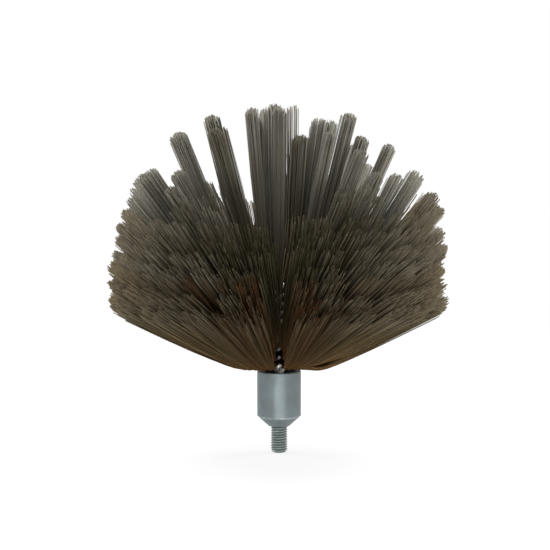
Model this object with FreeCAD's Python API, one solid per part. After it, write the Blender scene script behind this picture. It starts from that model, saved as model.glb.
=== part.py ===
import FreeCAD, Part
import math
import os

from FreeCAD import Vector

# A cobweb brush: a dome of stiff bristle on a stem of two twisted wires. The stem is gripped in a
# turned ferrule, and a threaded stud below the ferrule screws into a pole. The origin is where the
# stud leaves the ferrule, and the stem points along +Z. Sizes are in millimetres and degrees.

# Threaded stud
stud_diameter = 10.0
stud_length = 16.0
stud_tip_chamfer = 1.2
spigot_diameter = 8.0
head_diameter = 12.0
head_height = 2.0
neck_diameter = 9.0
neck_height = 0.8

# Ferrule
ferrule_diameter = 26.0
ferrule_height = 33.0
ferrule_wall = 3.0
floor_thickness = 10.0
seat_diameter = 13.0
cone_height = 6.0
rim_round = 0.8
relief_clearance = 0.3

# Bush that grips the end of the stem in the ferrule
bush_height = 13.0
bush_edge_chamfer = 0.6
press_clearance = 0.02

# Stem of two twisted wires
wire_diameter = 2.6
twist_pitch = 10.0
strand_clearance = 0.1
stem_top_margin = 4.0

# Bristle bundles, gripped between the wires, one row for each half turn of the twist
bundle_thickness = 1.2
bundle_height = 1.0
first_bundle_rise = 3.0
finger_row_count = 4
fan_row_azimuths = (0, 60, 120)
finger_row_azimuths = (0, 45, 135)
top_row_azimuths = (0, 45, 90, 135)
crown_azimuths = (0, 90)
dome_radius = 100.0
dome_centre_rise = 57.0
lowest_angle = 101.0
crown_angle = 4.5
side_lean = 4.7

# Sweep of the tufts from the stem to the dome, as shares of the dome's radius, widest in the lowest row
crown_bend_run_share = 0.004
crown_bend_radius_share = 0.035
top_bend_run_share = 0.01
top_bend_radius_share = 0.06
lowest_bend_run_share = 0.186
lowest_bend_radius_share = 0.26

# Tufts at the dome, as shares of the gap between rows there: fans in the low rows, fingers in the high rows
finger_width_share = 0.46
finger_thickness_share = 0.37
fan_thickness_share = 0.56
fan_fill = 0.86
finger_angle = 50.0
fan_angle = 67.0
tip_round_share = 0.7
tip_round_profile = ((1.0, 1.0), (0.5, 0.93), (0.15, 0.74), (0.02, 0.45))

# Locks side by side in each row's fans, from the lowest row, and the grooves that part them
fan_lock_counts = (6, 6, 6, 6, 2)
groove_depth_share = 0.5
groove_slope = 0.3
lock_crest_share = 0.4

# Places and sizes that follow from the values above
upwards = Vector(0, 0, 1)
row_rise = twist_pitch / 2
fan_row_count = len(fan_lock_counts)
row_count = fan_row_count + finger_row_count
first_bundle_z = ferrule_height + first_bundle_rise
crown_z = first_bundle_z + row_count * row_rise
dome_centre_z = ferrule_height + dome_centre_rise
dome_row_gap = dome_radius * math.radians(lowest_angle / row_count)

socket_diameter = ferrule_diameter - 2 * ferrule_wall
bush_bottom_z = floor_thickness + head_height
bush_top_z = bush_bottom_z + bush_height

tight_strand_radius = (wire_diameter + strand_clearance) / 2
open_strand_radius = (wire_diameter + bundle_thickness) / 2 + strand_clearance
strand_bottom_z = bush_bottom_z + wire_diameter / 2
strand_top_z = crown_z + row_rise + stem_top_margin
stem_radius = open_strand_radius + wire_diameter / 2 + strand_clearance


def save(name, shape):
    shape.exportStep("parts/" + name + ".step")


def turned(outline):
    """A solid turned about the Z axis from a closed outline of (radius, height) points."""
    points = [Vector(radius, 0, height) for radius, height in outline]
    face = Part.Face(Part.makePolygon(points + points[:1]))
    return face.revolve(Vector(0, 0, 0), upwards, 360)


def smoothstep(start, end, value):
    share = min(max((value - start) / (end - start), 0), 1)
    return share * share * (3 - 2 * share)


def make_stud():
    """The stud: thread, neck let into the ferrule's foot, spigot through its floor and upset head."""
    thread_radius = stud_diameter / 2
    spigot_radius = spigot_diameter / 2 - press_clearance
    return turned([
        (0, -stud_length),
        (thread_radius - stud_tip_chamfer, -stud_length),
        (thread_radius, -stud_length + stud_tip_chamfer),
        (thread_radius, 0),
        (neck_diameter / 2, 0),
        (neck_diameter / 2, neck_height),
        (spigot_radius, neck_height),
        (spigot_radius, floor_thickness),
        (head_diameter / 2, floor_thickness),
        (head_diameter / 2, floor_thickness + head_height),
        (0, floor_thickness + head_height),
    ])


def make_ferrule():
    """The ferrule: a cup with a coned foot, a relieved hole for the stud and a socket for the bush."""
    outer_radius = ferrule_diameter / 2
    socket_radius = socket_diameter / 2
    relief_radius = stud_diameter / 2 + relief_clearance
    cup = turned([
        (relief_radius, 0),
        (seat_diameter / 2, 0),
        (outer_radius, cone_height),
        (outer_radius, ferrule_height),
        (socket_radius, ferrule_height),
        (socket_radius, floor_thickness),
        (spigot_diameter / 2, floor_thickness),
        (spigot_diameter / 2, neck_height),
        (relief_radius, neck_height),
    ])
    rim = [edge for edge in cup.Edges if edge.BoundBox.ZMin > ferrule_height - press_clearance]
    rim = [edge for edge in rim if edge.BoundBox.ZLength < press_clearance]
    return cup.makeFillet(min(rim_round, ferrule_wall / 3), rim)


def make_bush():
    """The bush: a sleeve swaged round the tight end of the stem and pressed into the socket."""
    outer_radius = socket_diameter / 2 - press_clearance
    bore_radius = tight_strand_radius + wire_diameter / 2 + press_clearance
    return turned([
        (bore_radius, bush_bottom_z),
        (outer_radius - bush_edge_chamfer, bush_bottom_z),
        (outer_radius, bush_bottom_z + bush_edge_chamfer),
        (outer_radius, bush_top_z - bush_edge_chamfer),
        (outer_radius - bush_edge_chamfer, bush_top_z),
        (bore_radius, bush_top_z),
    ])


def strand_angle(z):
    """Where the first strand stands round the stem: square to the bundle that it grips there."""
    return 360 * (z - first_bundle_z) / twist_pitch - 90


def strand_point(z, phase):
    """The middle of a strand. The two lie close together in the bush and part to hold the bundles."""
    spread = smoothstep(bush_top_z, first_bundle_z - bundle_height, z)
    radius = tight_strand_radius + (open_strand_radius - tight_strand_radius) * spread
    angle = math.radians(strand_angle(z) + phase)
    return Vector(radius * math.cos(angle), radius * math.sin(angle), z)


def strand_tangent(z, phase):
    step = twist_pitch / 10000
    return (strand_point(z + step, phase) - strand_point(z - step, phase)).normalize()


def tangent_arc(start, corner, end):
    """The arc that leaves start towards corner and reaches end from corner."""
    first_leg = corner - start
    second_leg = end - corner
    turn = first_leg.getAngle(second_leg)
    pull = math.cos(turn / 2) / (1 + math.cos(turn / 2))
    chord_middle = (start + end) * 0.5
    return Part.Arc(start, chord_middle + (corner - chord_middle) * pull, end).toShape()


def biarc(start, start_tangent, end, end_tangent):
    """Two arcs that join two points smoothly along the tangents given there."""
    chord = end - start
    tangents = start_tangent + end_tangent
    bend = 2 * (1 - start_tangent.dot(end_tangent))
    along = chord.dot(tangents)
    leg = (math.sqrt(along * along + bend * chord.dot(chord)) - along) / bend
    first_corner = start + start_tangent * leg
    second_corner = end - end_tangent * leg
    joint = (first_corner + second_corner) * 0.5
    return [tangent_arc(start, first_corner, joint), tangent_arc(joint, second_corner, end)]


def make_strand(phase):
    """One wire of the stem: a round tube along arcs, two for each quarter turn of the twist."""
    quarter_turns = math.ceil(4 * (strand_top_z - strand_bottom_z) / twist_pitch)
    rise = (strand_top_z - strand_bottom_z) / quarter_turns
    edges = []
    for quarter in range(quarter_turns):
        low = strand_bottom_z + quarter * rise
        high = low + rise
        edges += biarc(
            strand_point(low, phase), strand_tangent(low, phase),
            strand_point(high, phase), strand_tangent(high, phase),
        )
    start = strand_point(strand_bottom_z, phase)
    section = Part.Circle(start, strand_tangent(strand_bottom_z, phase), wire_diameter / 2)
    path = Part.Wire(edges)
    return path.makePipeShell([Part.Wire(section.toShape())], True, False)


def oval(centre, side, up, half_width, half_height):
    """A closed oval of four arcs."""
    def point(angle):
        angle = math.radians(angle)
        return centre + side * (half_width * math.cos(angle)) + up * (half_height * math.sin(angle))

    arcs = [Part.Arc(point(a), point(a + 45), point(a + 90)).toShape() for a in (0, 90, 180, 270)]
    return Part.Wire(arcs)


def ribbed_lens(centre, side, up, half_width, half_height, locks):
    """A closed lens with a flat-topped rib for each lock on both faces, and a groove between ribs."""
    lock_width = 2 * half_width / locks

    def point(place, face):
        across = 2 * place / locks - 1
        height = half_height * (1 - across * across)
        if place == int(place):
            height -= min(groove_depth_share * height, groove_slope * lock_width)
        return centre + side * (across * half_width) + up * (face * height)

    rise = (1 - lock_crest_share) / 2
    places = [place for lock in range(locks) for place in (lock, lock + rise, lock + 1 - rise)]
    outline = [point(place, 1) for place in places] + [point(locks - place, -1) for place in places]
    return Part.makePolygon(outline + outline[:1])


def tuft_outline(centre, side, up, half_width, half_height, locks):
    """The outline across a tuft: an oval for a single lock, and ribs for a fan of several."""
    if locks == 1:
        return oval(centre, side, up, half_width, half_height)
    return ribbed_lens(centre, side, up, half_width, half_height, locks)


def tuft_angle(row_angle, azimuth):
    """The angle of a tuft's tip from the top of the dome, seen from the dome's middle."""
    lean = side_lean * math.sin(math.pi * row_angle / lowest_angle) ** 4
    angle = math.radians(row_angle - lean * math.cos(math.radians(azimuth)))
    turn = math.radians(azimuth)
    squaring = max(abs(math.cos(turn)), abs(math.sin(turn)))
    return math.degrees(math.atan2(math.sin(angle), squaring * math.cos(angle)))


def tuft_sections(root_z, azimuth, side, row_angle, bend_run, bend_radius, locks):
    """The outlines of one tuft from the stem to its tip on the dome.

    The tuft leaves the stem level, bends up and runs straight to the dome, which trims a wide one round.
    """
    tip_angle = math.radians(tuft_angle(row_angle, azimuth))
    tip_reach = dome_radius * math.sin(tip_angle)
    tip_z = dome_centre_z + dome_radius * math.cos(tip_angle)
    bend_reach = stem_radius + bend_run
    centre_to_tip = math.hypot(tip_reach - bend_reach, tip_z - root_z - bend_radius)
    rise = math.atan2(tip_z - root_z - bend_radius, tip_reach - bend_reach)
    rise += math.asin(bend_radius / centre_to_tip)
    straight = math.sqrt(centre_to_tip ** 2 - bend_radius ** 2)
    bend_end = bend_run + bend_radius * rise
    length = bend_end + straight

    spread = smoothstep(finger_angle, fan_angle, row_angle)
    finger_half_width = finger_width_share * dome_row_gap / 2
    fan_half_width = fan_fill * tip_reach * math.tan(math.pi / (2 * len(fan_row_azimuths)))
    tip_half_width = finger_half_width + (fan_half_width - finger_half_width) * spread
    thickness_share = finger_thickness_share + (fan_thickness_share - finger_thickness_share) * spread
    tip_half_thickness = thickness_share * dome_row_gap / 2
    outwards = Vector(math.cos(math.radians(azimuth)), math.sin(math.radians(azimuth)), 0)

    def section(distance, fullness):
        if distance <= bend_run:
            turn = 0
            reach = stem_radius + distance
            z = root_z
        elif distance <= bend_end:
            turn = (distance - bend_run) / bend_radius
            reach = bend_reach + bend_radius * math.sin(turn)
            z = root_z + bend_radius * (1 - math.cos(turn))
        else:
            turn = rise
            beyond = distance - bend_end
            reach = bend_reach + bend_radius * math.sin(turn) + beyond * math.cos(turn)
            z = root_z + bend_radius * (1 - math.cos(turn)) + beyond * math.sin(turn)
        share = distance / length
        half_width = bundle_thickness / 2 + (tip_half_width - bundle_thickness / 2) * share
        half_thickness = bundle_height / 2 + (tip_half_thickness - bundle_height / 2) * share
        dome_half_width = math.sqrt(dome_radius ** 2 - reach ** 2 - (z - dome_centre_z) ** 2)
        up = upwards * math.cos(turn) - outwards * math.sin(turn)
        centre = outwards * reach + upwards * z
        half_width = min(half_width * fullness, dome_half_width)
        return tuft_outline(centre, side, up, half_width, half_thickness * fullness, locks)

    bend_middle = (bend_run + bend_end) / 2
    tip_round_length = tip_round_share * dome_row_gap
    straight_middle = (bend_end + length - tip_round_length) / 2
    sections = [section(d, 1) for d in (0, bend_run, bend_middle, bend_end, straight_middle)]
    sections += [section(length - back * tip_round_length, full) for back, full in tip_round_profile]
    return sections


def make_bundle(row_z, azimuth, row_angle, bend_run, bend_radius, locks):
    """One bundle of bristle: a tuft on each side of the stem, joined between the two wires.

    It stands where the twist brings the wires square to its azimuth.
    """
    root_z = row_z + row_rise * azimuth / 180
    turn = math.radians(azimuth)
    side = Vector(-math.sin(turn), math.cos(turn), 0)
    middle = tuft_outline(upwards * root_z, side, upwards, bundle_thickness / 2, bundle_height / 2, locks)
    near = tuft_sections(root_z, azimuth, side, row_angle, bend_run, bend_radius, locks)
    far = tuft_sections(root_z, azimuth + 180, side, row_angle, bend_run, bend_radius, locks)
    return Part.makeLoft(near[::-1] + [middle] + far, True, False)


os.makedirs("parts", exist_ok=True)

save("threaded_stud", make_stud())
save("ferrule", make_ferrule())
save("stem_bush", make_bush())
save("stem_wire_first", make_strand(0))
save("stem_wire_second", make_strand(180))

for row in range(row_count):
    row_z = first_bundle_z + row * row_rise
    row_angle = lowest_angle * (1 - row / row_count)
    depth = 1 - row / (row_count - 1)
    bend_run = dome_radius * (top_bend_run_share + (lowest_bend_run_share - top_bend_run_share) * depth)
    bend_radius = dome_radius * (
        top_bend_radius_share + (lowest_bend_radius_share - top_bend_radius_share) * depth
    )
    azimuths = fan_row_azimuths if row < fan_row_count else finger_row_azimuths
    if row == row_count - 1:
        azimuths = top_row_azimuths
    locks = fan_lock_counts[row] if row < fan_row_count else 1
    for place, azimuth in enumerate(azimuths):
        bundle = make_bundle(row_z, azimuth, row_angle, bend_run, bend_radius, locks)
        save("bristle_row_%d_bundle_%d" % (row + 1, place + 1), bundle)

for place, azimuth in enumerate(crown_azimuths):
    bend_run = crown_bend_run_share * dome_radius
    bend_radius = crown_bend_radius_share * dome_radius
    bundle = make_bundle(crown_z, azimuth, crown_angle, bend_run, bend_radius, 1)
    save("bristle_crown_bundle_%d" % (place + 1), bundle)
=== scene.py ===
import math
import random

import bmesh
import bpy
import numpy as np
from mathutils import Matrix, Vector


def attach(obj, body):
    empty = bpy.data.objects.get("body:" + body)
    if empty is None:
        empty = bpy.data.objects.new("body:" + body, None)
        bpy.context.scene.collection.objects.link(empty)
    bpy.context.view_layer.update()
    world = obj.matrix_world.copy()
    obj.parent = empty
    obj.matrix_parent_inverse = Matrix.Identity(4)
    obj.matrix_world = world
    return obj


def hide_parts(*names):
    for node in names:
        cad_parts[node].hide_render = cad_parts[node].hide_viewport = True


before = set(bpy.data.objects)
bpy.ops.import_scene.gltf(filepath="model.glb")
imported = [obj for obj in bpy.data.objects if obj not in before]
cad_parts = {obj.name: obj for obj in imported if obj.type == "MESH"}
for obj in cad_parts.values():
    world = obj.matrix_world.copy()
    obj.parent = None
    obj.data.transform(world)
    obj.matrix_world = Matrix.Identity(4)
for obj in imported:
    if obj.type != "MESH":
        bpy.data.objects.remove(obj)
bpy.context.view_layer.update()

# Threaded stud: a steel stud with a rolled 10 mm thread that screws into the end of a pole.
# Its neck is let into the ferrule's foot, and its spigot goes through the ferrule's floor,
# where the end is upset to a flat head.
mm = 0.001


class Shade:
    """A socket in a material's nodes. Sums written on it in Python add Math nodes."""

    def __init__(self, tree, socket=None):
        self.tree = tree
        self.socket = socket

    def node(self, kind, settings, sockets, output=0):
        """Adds a node of any kind: its settings first, then the values or links of its sockets."""
        made = self.tree.nodes.new("ShaderNode" + kind)
        for name, value in settings.items():
            if name != "stops":
                setattr(made, name, value)
                continue
            stops = made.color_ramp.elements
            stops.remove(stops[1])
            for place, (position, tint) in enumerate(value):
                stop = stops.new(position) if place else stops[0]
                stop.position = position
                stop.color = (*tint, 1)
        for name, value in sockets.items():
            if isinstance(value, Shade):
                self.tree.links.new(value.socket, made.inputs[name])
            else:
                made.inputs[name].default_value = value
        return Shade(self.tree, made.outputs[output])

    def sum(self, operation, first, second):
        return self.node("Math", {"operation": operation}, {0: first, 1: second})

    def __add__(self, other):
        return self.sum("ADD", self, other)

    def __radd__(self, other):
        return self.sum("ADD", other, self)

    def __sub__(self, other):
        return self.sum("SUBTRACT", self, other)

    def __rsub__(self, other):
        return self.sum("SUBTRACT", other, self)

    def __mul__(self, other):
        return self.sum("MULTIPLY", self, other)

    def __rmul__(self, other):
        return self.sum("MULTIPLY", other, self)

    def __pow__(self, other):
        return self.sum("POWER", self, other)

    def spot(self):
        """The point on the piece, in metres."""
        return self.node("TexCoord", {}, {}, "Object")

    def part(self, axis):
        """One coordinate of a point."""
        return self.node("SeparateXYZ", {}, {0: self}, axis)

    def reach(self):
        """How far a point is from the stem's axis."""
        x = self.part("X")
        y = self.part("Y")
        return (x * x + y * y) ** 0.5

    def between(self, low, high):
        """0 below low, 1 above high, and a smooth rise between them."""
        return self.node("MapRange", {"interpolation_type": "SMOOTHSTEP"}, {0: self, 1: low, 2: high})

    def noise(self, where, scale, detail=3.0):
        return self.node("TexNoise", {}, {"Vector": where, "Scale": scale, "Detail": detail})

    def mix(self, share, first, second):
        settings = {"data_type": "RGBA", "blend_type": "MIX"}
        return self.node("Mix", settings, {0: share, 6: first, 7: second}, 2)


def colour(red, green, blue):
    return (red, green, blue, 1)


def new_material(name, **constants):
    """A material, its shader with the values that are the same all over, and a start for its nodes."""
    material = bpy.data.materials.new(name)
    material.use_nodes = True
    shader = material.node_tree.nodes["Principled BSDF"]
    for socket, value in constants.items():
        shader.inputs[socket.replace("_", " ")].default_value = value
    return material, shader, Shade(material.node_tree)


def feed(shader, **sockets):
    """Links what varies over the surface to the shader."""
    for socket, value in sockets.items():
        value.tree.links.new(value.socket, shader.inputs[socket.replace("_", " ")])


def new_piece(name, mesh, material):
    """An object at the origin that wears one material."""
    mesh.materials.clear()
    mesh.materials.append(material)
    piece = bpy.data.objects.new(name, mesh)
    bpy.context.collection.objects.link(piece)
    return piece


merging = 0.001 * mm


def cut_level(shape, height, keep_below=None):
    """Cuts the shape at a height, and drops and caps one side of the cut if told which to keep."""
    everything = shape.verts[:] + shape.edges[:] + shape.faces[:]
    bmesh.ops.bisect_plane(
        shape, geom=everything, plane_co=(0, 0, height), plane_no=(0, 0, 1), dist=merging,
        clear_outer=keep_below is True, clear_inner=keep_below is False,
    )
    if keep_below is not None:
        rim = [edge for edge in shape.edges if edge.is_boundary]
        rim = [edge for edge in rim if all(abs(v.co.z - height) < 10 * merging for v in edge.verts)]
        bmesh.ops.holes_fill(shape, edges=rim, sides=0)


def stud_shape():
    """A thread spun up the stud and cut to length, and the turned neck, spigot and head above it."""
    thread_radius = 5.0 * mm
    root_radius = 4.15 * mm
    pitch = 1.5 * mm
    tip = -16.0 * mm
    chamfer = 1.2 * mm
    foot = 0.0
    # The thread over one pitch, from its root at 0 to its crest at 1.
    profile = ((0.0, 0), (0.1, 0), (0.44, 1), (0.56, 1), (0.9, 0), (1.0, 0))
    steps_per_turn = 40
    turns = math.ceil((foot - tip) / pitch) + 2
    sharp_corner = math.radians(35)

    shape = bmesh.new()
    chain = []
    for rise, height in profile:
        reach = root_radius + (thread_radius - root_radius) * height
        chain.append(shape.verts.new((reach, 0, tip - 1.5 * pitch + rise * pitch)))
    edges = [shape.edges.new(pair) for pair in zip(chain, chain[1:])]
    bmesh.ops.spin(
        shape, geom=chain + edges, cent=(0, 0, 0), axis=(0, 0, 1), dvec=(0, 0, pitch / steps_per_turn),
        angle=math.tau * turns, steps=steps_per_turn * turns, use_merge=False, use_duplicate=False,
    )
    bmesh.ops.remove_doubles(shape, verts=shape.verts, dist=merging)
    cut_level(shape, foot, keep_below=True)
    cut_level(shape, tip, keep_below=False)
    cut_level(shape, tip + chamfer)
    for vert in shape.verts:
        reach = math.hypot(vert.co.x, vert.co.y)
        limit = thread_radius - chamfer + (vert.co.z - tip)
        if reach > limit:
            vert.co.x *= limit / reach
            vert.co.y *= limit / reach

    neck_radius = 4.5 * mm
    neck_top = 0.8 * mm
    spigot_radius = 3.98 * mm
    floor_top = 10.0 * mm
    head_radius = 6.0 * mm
    head_top = 12.0 * mm
    outline = [
        (0, foot), (neck_radius, foot), (neck_radius, neck_top), (spigot_radius, neck_top),
        (spigot_radius, floor_top), (head_radius, floor_top), (head_radius, head_top), (0, head_top),
    ]
    chain = [shape.verts.new((reach, 0, height)) for reach, height in outline]
    edges = [shape.edges.new(pair) for pair in zip(chain, chain[1:])]
    bmesh.ops.spin(
        shape, geom=chain + edges, cent=(0, 0, 0), axis=(0, 0, 1), angle=math.tau, steps=steps_per_turn,
        use_merge=True, use_duplicate=False,
    )
    bmesh.ops.remove_doubles(shape, verts=shape.verts, dist=merging)
    bmesh.ops.recalc_face_normals(shape, faces=shape.faces)
    mesh = bpy.data.meshes.new("threaded_stud_body")
    shape.to_mesh(mesh)
    shape.free()
    mesh.shade_smooth()
    mesh.set_sharp_from_angle(angle=sharp_corner)
    return mesh


def oiled_steel():
    """Dull grey-green steel: painted shade in the thread's roots, paler crests, and patches of oil stain.
    """
    material, shader, nodes = new_material("oiled_stud_steel", Metallic=0.75)
    spot = nodes.spot()
    # Painted shade: the thread's roots are much darker than its crests.
    crest = spot.reach().between(4.3 * mm, 4.95 * mm)
    blotch = nodes.noise(spot, 260.0)
    body = nodes.mix(crest, colour(0.12, 0.145, 0.14), colour(0.41, 0.47, 0.455))
    stain = blotch.between(0.45, 0.72) * 0.3
    feed(
        shader,
        Base_Color=nodes.mix(stain, body, colour(0.13, 0.125, 0.105)),
        Roughness=0.5 - crest * 0.12 + blotch * 0.1,
    )
    fine = nodes.noise(spot, 2400.0, 2.0)
    feed(shader, Normal=nodes.node("Bump", {}, {"Strength": 0.25, "Distance": 0.05 * mm, "Height": fine}))
    return material


stud = new_piece("threaded_stud_thread", stud_shape(), oiled_steel())
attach(stud, "root")
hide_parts("threaded_stud")


# Ferrule: a cup turned from steel bar, with a coned foot, and plated with dull zinc.
# It takes the end of the stem in its socket and carries the stud in its floor.
def dress(node, material):
    """Gives a CAD node a better material."""
    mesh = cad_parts[node].data
    mesh.materials.clear()
    mesh.materials.append(material)


def zinc_plate():
    """Bluish satin zinc over turning marks, rubbed bright on the corners; painted shade down the socket."""
    material, shader, nodes = new_material("satin_zinc_plate", Metallic=0.7)
    spot = nodes.spot()
    level = spot.part("Z")
    marks = {"W": level, "Scale": 3200.0, "Detail": 2.0}
    turning = nodes.node("TexNoise", {"noise_dimensions": "1D"}, marks)
    cloud = nodes.noise(spot, 95.0, 4.0)
    speck = nodes.noise(spot, 900.0, 3.0)
    rim = level.between(32.0 * mm, 32.7 * mm)
    corner = level.between(5.2 * mm, 5.9 * mm) * (1 - level.between(6.1 * mm, 6.9 * mm))
    worn = (rim + corner) * speck.between(0.35, 0.6)
    # Painted shade: inside the socket, below the rim, the bore is dark.
    socket = (1 - spot.reach().between(10.1 * mm, 10.6 * mm)) * level.between(9.0 * mm, 9.9 * mm)
    plate = nodes.mix(cloud.between(0.3, 0.7), colour(0.14, 0.172, 0.178), colour(0.18, 0.217, 0.227))
    plate = nodes.mix(turning.between(0.35, 0.65) * 0.25, plate, colour(0.13, 0.15, 0.153))
    plate = nodes.mix(worn * 0.7, plate, colour(0.46, 0.49, 0.49))
    plate = nodes.mix(socket, plate, colour(0.07, 0.075, 0.072))
    feed(shader, Base_Color=plate, Roughness=0.52 + (cloud - 0.5) * 0.14 - worn * 0.1)
    height = turning + speck * 0.3
    feed(shader, Normal=nodes.node("Bump", {}, {"Strength": 0.3, "Distance": 0.03 * mm, "Height": height}))
    return material


dress("ferrule", zinc_plate())


# Stem bush: a plain steel sleeve, swaged round the tight end of the stem and pressed into the
# ferrule's socket. Only its top shows, down in the mouth of the ferrule.
def bush_steel():
    """Dark steel with the rings that facing it left, and dirt."""
    material, shader, nodes = new_material("turned_bush_steel", Metallic=0.8)
    spot = nodes.spot()
    rings = nodes.node("TexNoise", {"noise_dimensions": "1D"}, {"W": spot.reach(), "Scale": 2600.0})
    dirt = nodes.noise(spot, 300.0)
    steel = nodes.mix(dirt.between(0.4, 0.7), colour(0.17, 0.17, 0.165), colour(0.08, 0.072, 0.06))
    feed(shader, Base_Color=steel, Roughness=0.42 + dirt * 0.2)
    feed(shader, Normal=nodes.node("Bump", {}, {"Strength": 0.3, "Distance": 0.03 * mm, "Height": rings}))
    return material


dress("stem_bush", bush_steel())


# Stem wires: two lengths of galvanised wire, twisted together with the bristles laid between them,
# so that each half turn of the twist grips one row of bristles.
def galvanised_wire():
    """Pale zinc with a faint spangle and a fine grain, dulled in patches."""
    material, shader, nodes = new_material("galvanised_wire", Metallic=0.8)
    spot = nodes.spot()
    spangle = nodes.node("TexVoronoi", {}, {"Vector": spot, "Scale": 900.0}, "Color")
    spangle = nodes.node("SeparateColor", {}, {0: spangle}, 0)
    dull = nodes.noise(spot, 220.0, 4.0)
    zinc = nodes.mix(spangle, colour(0.60, 0.61, 0.59), colour(0.74, 0.75, 0.73))
    zinc = nodes.mix(dull.between(0.5, 0.75) * 0.6, zinc, colour(0.30, 0.28, 0.24))
    feed(shader, Base_Color=zinc, Roughness=0.34 + dull * 0.22)
    fine = nodes.noise(spot, 1800.0, 2.0)
    feed(shader, Normal=nodes.node("Bump", {}, {"Strength": 0.2, "Distance": 0.04 * mm, "Height": fine}))
    return material


wire_finish = galvanised_wire()
dress("stem_wire_first", wire_finish)
dress("stem_wire_second", wire_finish)


# Bristles: stiff brown filaments, laid across the stem, gripped at their middles by the twist and
# trimmed to a dome. The low rows spread to fans of locks all round, and the high rows stand up as
# separate fingers. Their sizes are in millimetres and degrees.
filament_radius = 0.24
stem_radius = 3.4
row_count = 9
fan_row_count = 5
first_row_z = 36.0
row_rise = 5.0
crown_z = first_row_z + row_count * row_rise
dome_radius = 100.0
dome_centre_z = 90.0
lowest_angle = 101.0
crown_angle = 4.5
side_lean = 4.7
draw = random.Random(20)

# How loosely the filaments lie in a lock: a few stray out at its sides, each waves and is cut a little
# differently, and those at the lock's rim are shorter. Then the share of the lock's full width where the
# filaments start to bend, in the bend, on the straight and at the tip, and how the bend is rounded.
stray_chance = 0.025
stray_reach = 1.5
side_wave = 0.9
over_wave = 0.7
over_wave_limit = 1.0
tip_wave = 0.6
rim_shortness = 2.6
cut_unevenness = 1.5
root_reach = 1.0
root_play = 0.7
shade_play = 0.1
start_spread = 0.12
bend_spread = 0.32
bend_depth = 0.3
straight_spread = 0.85
straight_place = 0.55
tip_spread = 0.92
corner_cut = 0.25


def brown_filament(name, gloss, darkest, tip_start, tip_share):
    """Brown filament, each of its own shade, redder at the stem and greyer towards its cut end."""
    material, shader, nodes = new_material(name, Specular_IOR_Level=gloss)
    uv = nodes.node("UVMap", {"uv_map": "OFBake"}, {})
    along = uv.part("X")
    shade = uv.part("Y")
    browns = [
        (0.0, darkest), (0.35, (0.080, 0.060, 0.032)),
        (0.7, (0.125, 0.091, 0.045)), (1.0, (0.190, 0.141, 0.064)),
    ]
    brown = nodes.node("ValToRGB", {"stops": browns}, {0: shade})
    streak = nodes.node("CombineXYZ", {}, {"X": along * 30.0, "Y": shade * 60.0})
    streak = nodes.noise(streak, 1.0, 2.0)
    brown = nodes.mix(streak.between(0.35, 0.75) * 0.35, brown, colour(0.050, 0.038, 0.024))
    root = 1 - along.between(0.3, 0.9)
    brown = nodes.mix(root * 0.8, brown, colour(0.105, 0.050, 0.019))
    # Ends are pale only on the paler filaments, so that the painted shade on the front and back locks
    # reaches their ends.
    tip = along.between(tip_start, 1.0) * shade.between(0.0, 0.7)
    feed(
        shader,
        Base_Color=nodes.mix(tip * tip_share, brown, colour(0.25, 0.243, 0.208)),
        Roughness=0.45 + streak * 0.15,
    )
    return material


def tuft_angle(row_angle, azimuth):
    """The angle of a tip from the top of the dome. A row tilts down to the left, and is square in plan."""
    lean = side_lean * math.sin(math.pi * row_angle / lowest_angle) ** 4
    angle = math.radians(row_angle - lean * math.cos(math.radians(azimuth)))
    turn = math.radians(azimuth)
    squaring = max(abs(math.cos(turn)), abs(math.sin(turn)))
    return math.atan2(math.sin(angle), squaring * math.cos(angle))


def tuft(
    azimuth, angle, root_z, bend_run, bend_radius, half_width, half_thickness, count, shade, trim, strays,
):
    """A lock's filaments, each a path and a shade: level from the stem, bent up, straight to the dome."""
    turn = math.radians(azimuth)
    out = Vector((math.cos(turn), math.sin(turn), 0))
    side = Vector((-math.sin(turn), math.cos(turn), 0))
    up = Vector((0, 0, 1))
    tip_reach = (dome_radius + trim) * math.sin(angle)
    tip_rise = dome_centre_z + (dome_radius + trim) * math.cos(angle) - root_z
    bend_reach = stem_radius + bend_run
    centre_to_tip = math.hypot(tip_reach - bend_reach, tip_rise - bend_radius)
    rise = math.atan2(tip_rise - bend_radius, tip_reach - bend_reach)
    rise += math.asin(bend_radius / centre_to_tip)
    corner_reach = bend_reach + bend_radius * math.tan(rise / 2)
    ahead = out * math.cos(rise) + up * math.sin(rise)
    over = up * math.cos(rise) - out * math.sin(rise)
    root = up * root_z
    corner = root + out * corner_reach
    tip = root + out * tip_reach + up * tip_rise
    filaments = []
    for _ in range(count):
        spread = math.sqrt(draw.random())
        spin = draw.uniform(0, math.tau)
        stray = stray_reach if draw.random() < stray_chance and strays else 1.0
        aside = side * (math.cos(spin) * spread * half_width * stray)
        lift = over * (math.sin(spin) * spread * half_thickness)
        wave = side * draw.gauss(0, side_wave)
        wave += over * max(min(draw.gauss(0, over_wave), over_wave_limit), -over_wave_limit)
        short = rim_shortness * spread ** 3 + abs(draw.gauss(0, cut_unevenness))
        rough_root = root + up * draw.uniform(-root_play, root_play)
        start = rough_root + out * bend_reach + aside * start_spread
        bend = corner + aside * bend_spread
        bend += up * (math.sin(spin) * spread * half_thickness * bend_depth)
        straight = corner.lerp(tip, straight_place) + aside * straight_spread + lift * straight_spread
        straight += wave
        path = [
            rough_root + out * root_reach,
            start,
            start.lerp(bend, 1 - corner_cut),
            bend.lerp(straight, corner_cut),
            straight,
            tip + aside * tip_spread + lift * tip_spread - ahead * short + wave * tip_wave,
        ]
        filaments.append((path, min(max(shade + draw.gauss(0, shade_play), 0.0), 1.0)))
    return filaments


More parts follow.
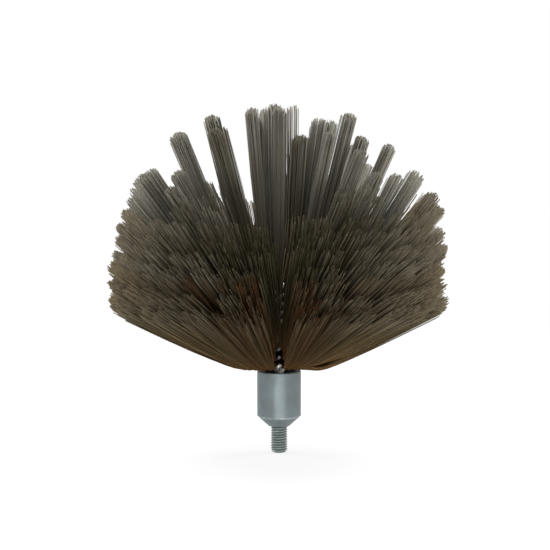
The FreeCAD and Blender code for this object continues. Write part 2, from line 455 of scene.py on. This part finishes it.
def bristle_mesh(name, filaments):
    """Round filaments along smooth curves, with a map that runs along each one and by its shade."""
    line = bpy.data.curves.new(name, "CURVE")
    line.dimensions = "3D"
    line.bevel_depth = filament_radius * mm
    line.bevel_resolution = 0
    line.use_fill_caps = True
    for path, _ in filaments:
        spline = line.splines.new("NURBS")
        spline.points.add(len(path) - 1)
        spline.points.foreach_set("co", [n for spot in path for n in (*(spot * mm), 1.0)])
        spline.order_u = 3
        spline.use_endpoint_u = True
        spline.resolution_u = 2
    holder = bpy.data.objects.new(name + "_line", line)
    mesh = bpy.data.meshes.new_from_object(holder)
    bpy.data.objects.remove(holder)
    bpy.data.curves.remove(line)

    # The end caps come first in the mesh, from the last filament to the first, and then the sides. Each
    # filament lies in one of the map's bands by its shade, with margins at the map's and the band's edges.
    bands = 32
    end_margin = 0.01
    band_margin = 0.1
    count = len(filaments)
    cap_corners = 12
    side_corners = (len(mesh.loops) - cap_corners * count) // count
    order = np.concatenate([
        np.repeat(np.arange(count)[::-1], cap_corners),
        np.repeat(np.arange(count), side_corners),
    ])
    layer = mesh.uv_layers[0]
    layer.name = "OFBake"
    spots = np.zeros(len(mesh.loops) * 2, np.float32)
    layer.uv.foreach_get("vector", spots)
    spots = spots.reshape(-1, 2)
    band = np.floor(np.array([shade for _, shade in filaments]) * (bands - 0.01))[order]
    spots[:cap_corners * count, 0] = np.tile(np.repeat([1.0, 0.0], cap_corners // 2), count)
    spots[:, 0] = end_margin + (1 - 2 * end_margin) * spots[:, 0]
    spots[:, 1] = (band + band_margin + (1 - 2 * band_margin) * spots[:, 1]) / bands
    layer.uv.foreach_set("vector", spots.ravel())
    shape = bmesh.new()
    shape.from_mesh(mesh)
    bmesh.ops.remove_doubles(shape, verts=shape.verts, dist=2 * merging)
    shape.to_mesh(mesh)
    shape.free()
    return mesh


def bristle_row(name, filaments, material):
    """One row of bristle in place of the row's CAD bundles."""
    piece = new_piece(name, bristle_mesh(name, filaments), material)
    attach(piece, "root")
    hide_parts(*[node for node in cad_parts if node.startswith(name + "_bundle")])


# The fans, row by row from the lowest: how many locks stand across each, how far apart, how far the upper
# and lower layer of locks part at the dome, and how far the fan is lifted, in degrees. The two fans at
# the sides have slim locks that stay apart, and in the others the locks run together. The fans at the
# front part to show the stem, and those at the back close up. The locks at the front and back are
# darker than those at the sides, which is painted shade. A play is the spread of the small differences
# from lock to lock.
fan_azimuths = (0, 60, 120, 180, 240, 300)
back_parting = -1.0
front_parting = (5.0, 3.5, 2.5, 2.0, 2.0)
fan_locks = (6, 6, 6, 6, 2)
fan_lock_gap = (9.0, 9.0, 9.0, 9.0, 10.0)
broad_lock_added_gap = 1.0
fan_layer_gap = (1.3, 2.6, 2.6, 2.4, 1.9)
fan_layer_rise = 0.5
fan_lift = (2.7, 0.8, 0.0, 0.0, 0.0)
lock_turn_play = 1.1
lock_lift_play = 0.5
lock_shade_play = 0.08
side_lock_trim_play = 0.6
broad_lock_trim = -0.5
broad_lock_trim_play = 1.4
side_lock_half_width = 6.0
side_lock_half_thickness = (2.6, 3.5, 3.5, 3.5, 4.6)
broad_lock_half_width = 8.0
broad_lock_half_thickness = 4.4
lock_filaments = 34
fan_shade = (0.42, 0.36, 0.36, 0.33, 0.20)
painted_front_back_shade = 0.72

# How far the locks at the right and left of the dome stand out of it or fall short, from the lowest row.
side_trims = {
    0: (-0.4, -3.0, -0.2, 3.8, 2.0, 1.6, -4.5, 3.0, -5.0),
    180: (1.0, 0.5, -2.3, -0.3, -0.5, 1.5, 1.0, 1.7, -6.0),
}
# The upper layer of locks that is cut shorter than the lower one, by row and azimuth.
short_layers = {(5, 0): -10.0}
# Fingers that were set or cut unevenly, by row and azimuth: how far each leans outwards and how far it
# swings round the stem, in degrees, its trim, its shade, and half its width and thickness. The filling
# times these two is the number of its filaments.
finger_leans = {
    (9, 180): -2.7, (9, 135): -2.5, (9, 225): -2.5, (9, 315): -3.4, (9, 45): -1.4, (9, 0): 3.5,
    (8, 315): -4.0, (8, 45): -3.0, (8, 0): 2.0,
    (7, 135): 2.0, (7, 225): 2.0, (7, 180): -0.5, (6, 180): 4.0,
}
finger_swings = {(7, 135): 16.0, (7, 225): -16.0}
finger_trims = {
    (9, 315): -16.0, (9, 45): -16.0, (9, 90): -8.0, (8, 315): -6.0,
    (7, 135): -9.0, (7, 225): -9.0,
}
plain_shade = 0.5
finger_shades = {
    (9, 0): 0.9, (9, 45): 0.25, (9, 315): 0.25, (9, 180): 0.75,
    (8, 180): 0.35, (8, 135): 0.35, (8, 225): 0.35,
}
plain_finger = (4.6, 3.8)
full_fingers = {
    (9, 315): (6.0, 3.8), (9, 45): (6.0, 3.8), (9, 0): (4.6, 5.2),
    (8, 0): (4.6, 5.0), (8, 180): (4.6, 5.4), (8, 135): (6.6, 3.8), (8, 225): (6.6, 3.8),
    (7, 0): (4.6, 5.0), (7, 180): (4.6, 5.6), (7, 135): (4.6, 5.0), (7, 225): (4.6, 5.0),
    (6, 180): (4.6, 9.0),
}
filling = 4.8
finger_trim_play = 0.8
finger_shade_play = 0.05

# The two lowest rows are redder, and the four lowest are matt. Those above are a little glossy, with
# greyer ends.
low_fan_finish = brown_filament("red_brown_fan_filament", 0.0, (0.052, 0.021, 0.007), 0.85, 0.25)
fan_finish = brown_filament("brown_fan_filament", 0.0, (0.036, 0.033, 0.017), 0.85, 0.4)
finger_finish = brown_filament("brown_finger_filament", 0.12, (0.050, 0.043, 0.024), 0.4, 0.85)
row_finishes = [low_fan_finish] * 2 + [fan_finish] * 2 + [finger_finish] * 5

# How far the filaments run level before they bend, and the radius of the bend: both are least in the
# top row, and the lowest row adds the most.
top_bend_run = 1.0
added_bend_run = 17.6
top_bend_radius = 6.0
added_bend_radius = 20.0

for row in range(row_count):
    row_angle = lowest_angle * (1 - row / row_count)
    row_z = first_row_z + row * row_rise
    depth = 1 - row / (row_count - 1)
    bend_run = top_bend_run + added_bend_run * depth
    bend_radius = top_bend_radius + added_bend_radius * depth
    filaments = []
    if row < fan_row_count:
        front = front_parting[row]
        parting = {60: -back_parting, 120: back_parting, 240: -front, 300: front}
        for azimuth in fan_azimuths:
            beside = azimuth in side_trims
            half_width = side_lock_half_width if beside else broad_lock_half_width
            half_thickness = side_lock_half_thickness[row] if beside else broad_lock_half_thickness
            lock_gap = fan_lock_gap[row] if beside else fan_lock_gap[row] + broad_lock_added_gap
            for lock in range(fan_locks[row]):
                offset = (lock - (fan_locks[row] - 1) / 2) * lock_gap
                for layer in (-1, 1):
                    turn = parting.get(azimuth, 0) + offset + draw.gauss(0, lock_turn_play)
                    lift = fan_lift[row] + layer * fan_layer_gap[row] + draw.gauss(0, lock_lift_play)
                    angle = tuft_angle(row_angle, azimuth) - math.radians(lift)
                    root_z = row_z + row_rise * (azimuth % 180 + offset) / 180 + fan_layer_rise * layer
                    if beside:
                        trim = side_trims[azimuth][row] + draw.gauss(0, side_lock_trim_play)
                    else:
                        trim = draw.gauss(broad_lock_trim, broad_lock_trim_play)
                    if layer == 1:
                        trim += short_layers.get((row + 1, azimuth), 0)
                    sideways = abs(math.cos(math.radians(azimuth + turn)))
                    # Painted shade: the locks are darker towards the front and back than at the sides.
                    shade = fan_shade[row] + painted_front_back_shade * (sideways - 0.5) + draw.gauss(0, lock_shade_play)
                    filaments += tuft(
                        azimuth + turn, angle, root_z, bend_run, bend_radius, half_width, half_thickness,
                        lock_filaments, shade, trim, strays=row > 0,
                    )
    else:
        top = row == row_count - 1
        for azimuth in (0, 45, 90, 135) if top else (0, 45, 135):
            for end in (azimuth, azimuth + 180):
                finger = (row + 1, end)
                angle = tuft_angle(row_angle, end) + math.radians(finger_leans.get(finger, 0))
                trim = side_trims[end][row] if end in side_trims else finger_trims.get(finger, 0)
                half_width, half_thickness = full_fingers.get(finger, plain_finger)
                count = round(filling * half_width * half_thickness)
                root_z = row_z + row_rise * azimuth / 180
                shade = finger_shades.get(finger, plain_shade) + draw.gauss(0, finger_shade_play)
                trim += draw.gauss(0, finger_trim_play)
                filaments += tuft(
                    end + finger_swings.get(finger, 0), angle, root_z, bend_run, bend_radius, half_width,
                    half_thickness, count, shade, trim, strays=True,
                )
    bristle_row("bristle_row_%d" % (row + 1), filaments, row_finishes[row])

# The crown's four fingers: three stand close together at the left, and most of the fourth is cut
# short, so that only a thin wisp of it reaches the dome. Each has its bundle's azimuth, its own, the
# number of its filaments and its trim.
crown_fingers = (
    (0, 0, 24, 0.0), (0, 0, 30, -28.0), (0, 0, 50, -40.0),
    (0, 180, 84, -2.5), (90, 110, 84, 0.0), (90, 250, 84, 0.0),
)
crown_shade = 0.85
crown_shade_play = 0.1
crown_trim = -0.5
crown_trim_play = 0.8
crown_bend_run = 0.4
crown_bend_radius = 3.5
crown_half_width = 4.8
crown_half_thickness = 4.0
filaments = []
for azimuth, end, count, trim in crown_fingers:
    root_z = crown_z + row_rise * azimuth / 180
    shade = crown_shade + draw.gauss(0, crown_shade_play)
    trim += draw.gauss(crown_trim, crown_trim_play)
    filaments += tuft(
        end, math.radians(crown_angle), root_z, crown_bend_run, crown_bend_radius, crown_half_width,
        crown_half_thickness, count, shade, trim, strays=True,
    )
bristle_row("bristle_crown", filaments, finger_finish)


# Floor, light and camera: a plain white floor just under the stud's tip, soft light from the front and
# from above at both sides, a faint narrow lamp on the ferrule, and a view a little from above. The floor
# looks white, and keeps a share of the brush's shadow near it.
floor_level = -16.2 * mm
shadow_share = 0.25
shadow_start = 0.12
shadow_end = 0.6
floor_shape = bmesh.new()
bmesh.ops.create_grid(floor_shape, x_segments=1, y_segments=1, size=4.0)
bmesh.ops.translate(floor_shape, verts=floor_shape.verts, vec=(0, 0, floor_level))
floor_mesh = bpy.data.meshes.new("floor")
floor_shape.to_mesh(floor_mesh)
floor_shape.free()
floor_white = colour(0.9, 0.9, 0.9)
floor_material, floor_shader, nodes = new_material("white_floor", Base_Color=floor_white, Roughness=0.9)
far = nodes.spot().reach().between(shadow_start, shadow_end)
white_share = (1 - shadow_share) + far * shadow_share


def seen_directly(nodes):
    """1 for rays from the camera, from a reflection or through glass."""
    kinds = ("Is Camera Ray", "Is Glossy Ray", "Is Transmission Ray")
    rays = [nodes.node("LightPath", {}, {}, kind) for kind in kinds]
    return nodes.sum("MAXIMUM", nodes.sum("MAXIMUM", rays[0], rays[1]), rays[2])


glow = nodes.node("Emission", {}, {"Color": colour(1, 1, 1), "Strength": 1.0})
plain = Shade(nodes.tree, floor_shader.outputs[0])
lit = nodes.node("MixShader", {}, {0: seen_directly(nodes) * white_share, 1: plain, 2: glow})
nodes.tree.links.new(lit.socket, nodes.tree.nodes["Material Output"].inputs["Surface"])
new_piece("floor", floor_mesh, floor_material)

world = bpy.data.worlds.new("soft_studio")
world.use_nodes = True
bpy.context.scene.world = world
nodes = Shade(world.node_tree)
soft = nodes.node("Background", {}, {"Color": colour(1, 1, 1), "Strength": 0.52})
white = nodes.node("Background", {}, {"Color": colour(1, 1, 1), "Strength": 1.0})
sky = nodes.node("MixShader", {}, {0: seen_directly(nodes), 1: soft, 2: white})
world.node_tree.links.new(sky.socket, world.node_tree.nodes["World Output"].inputs["Surface"])


def soft_lamp(name, place, aim, size, power, spread=180.0):
    """A square lamp: where it is and what it faces in metres, its size, its watts and its beam's spread."""
    lamp = bpy.data.lights.new(name, "AREA")
    lamp.size = size
    lamp.energy = power
    lamp.spread = math.radians(spread)
    holder = bpy.data.objects.new(name, lamp)
    holder.location = place
    holder.rotation_euler = (Vector(aim) - Vector(place)).to_track_quat("-Z", "Y").to_euler()
    bpy.context.collection.objects.link(holder)


soft_lamp("front_lamp", (0.2, -1.1, 0.04), (0, 0, 0.03), 0.5, 3.3)
soft_lamp("ferrule_lamp", (-0.04, -0.6, 0.0), (0, 0, -0.01), 0.12, 0.016, 8.0)
soft_lamp("left_lamp", (-0.8, 0.25, 0.8), (0, 0, 0.1), 0.7, 15.0)
soft_lamp("right_lamp", (0.8, 0.25, 0.8), (0, 0, 0.1), 0.7, 15.0)

photo_width = 323.4 * mm
aim = Vector((-2.4, 0, 89.6)) * mm
elevation = math.radians(6.0)
camera = bpy.data.cameras.new("camera")
camera.lens = 100.0
camera.sensor_width = 36.0
distance = photo_width * camera.lens / camera.sensor_width
viewer = bpy.data.objects.new("camera", camera)
viewer.location = aim + Vector((0, -math.cos(elevation), math.sin(elevation))) * distance
viewer.rotation_euler = (aim - viewer.location).to_track_quat("-Z", "Y").to_euler()
bpy.context.collection.objects.link(viewer)
bpy.context.scene.camera = viewer
bpy.context.scene.view_settings.view_transform = "Standard"
